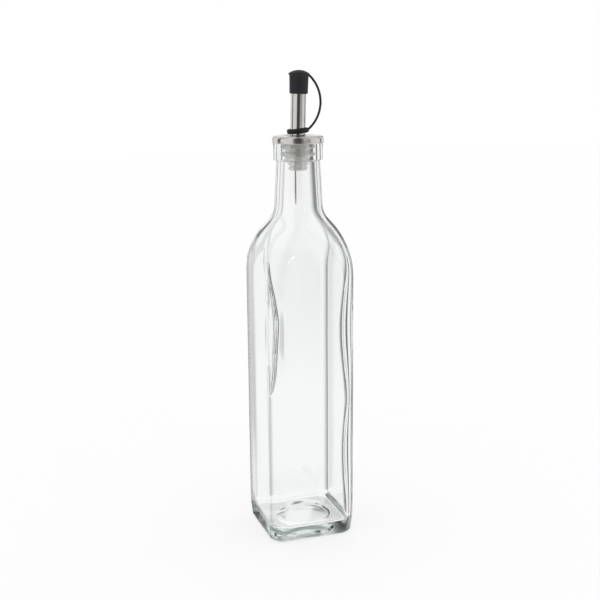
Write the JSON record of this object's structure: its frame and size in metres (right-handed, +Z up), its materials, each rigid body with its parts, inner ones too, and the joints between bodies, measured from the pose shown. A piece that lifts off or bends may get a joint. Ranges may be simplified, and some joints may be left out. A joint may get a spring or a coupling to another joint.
{
  "type": "square glass oil bottle with pourer",
  "caption": "Tall clear glass bottle with a square body, round neck and thick base, closed by a ribbed plastic stopper with a steel spout and a tethered rubber cap.",
  "frame": {"origin": "middle of the bottle's base, on the surface it stands on", "axes": "+Z up the bottle to the cap; the flat faces of the glass are square to X and Y; the strap of the cap lies towards +X, turned 18 degrees towards -Y"},
  "size_m": [0.0586, 0.0586, 0.3005],
  "materials": {
    "clear_glass": "clear moulded soda-lime glass with a faint grey-green tint where it is thick",
    "milky_plastic": "soft translucent moulded plastic",
    "satin_steel": "satin pressed stainless steel",
    "polished_steel": "polished stainless steel tube with faint drawing lines",
    "breather_steel": "plain drawn stainless steel",
    "black_rubber": "matt moulded rubber"
  },
  "bodies": {
    "root": {"bottle_glass": "clear_glass", "stopper": "milky_plastic", "pourer_disc": "satin_steel", "spout_tube": "polished_steel", "breather_tube": "breather_steel", "rubber_cap": "black_rubber"}
  },
  "joints": []
}
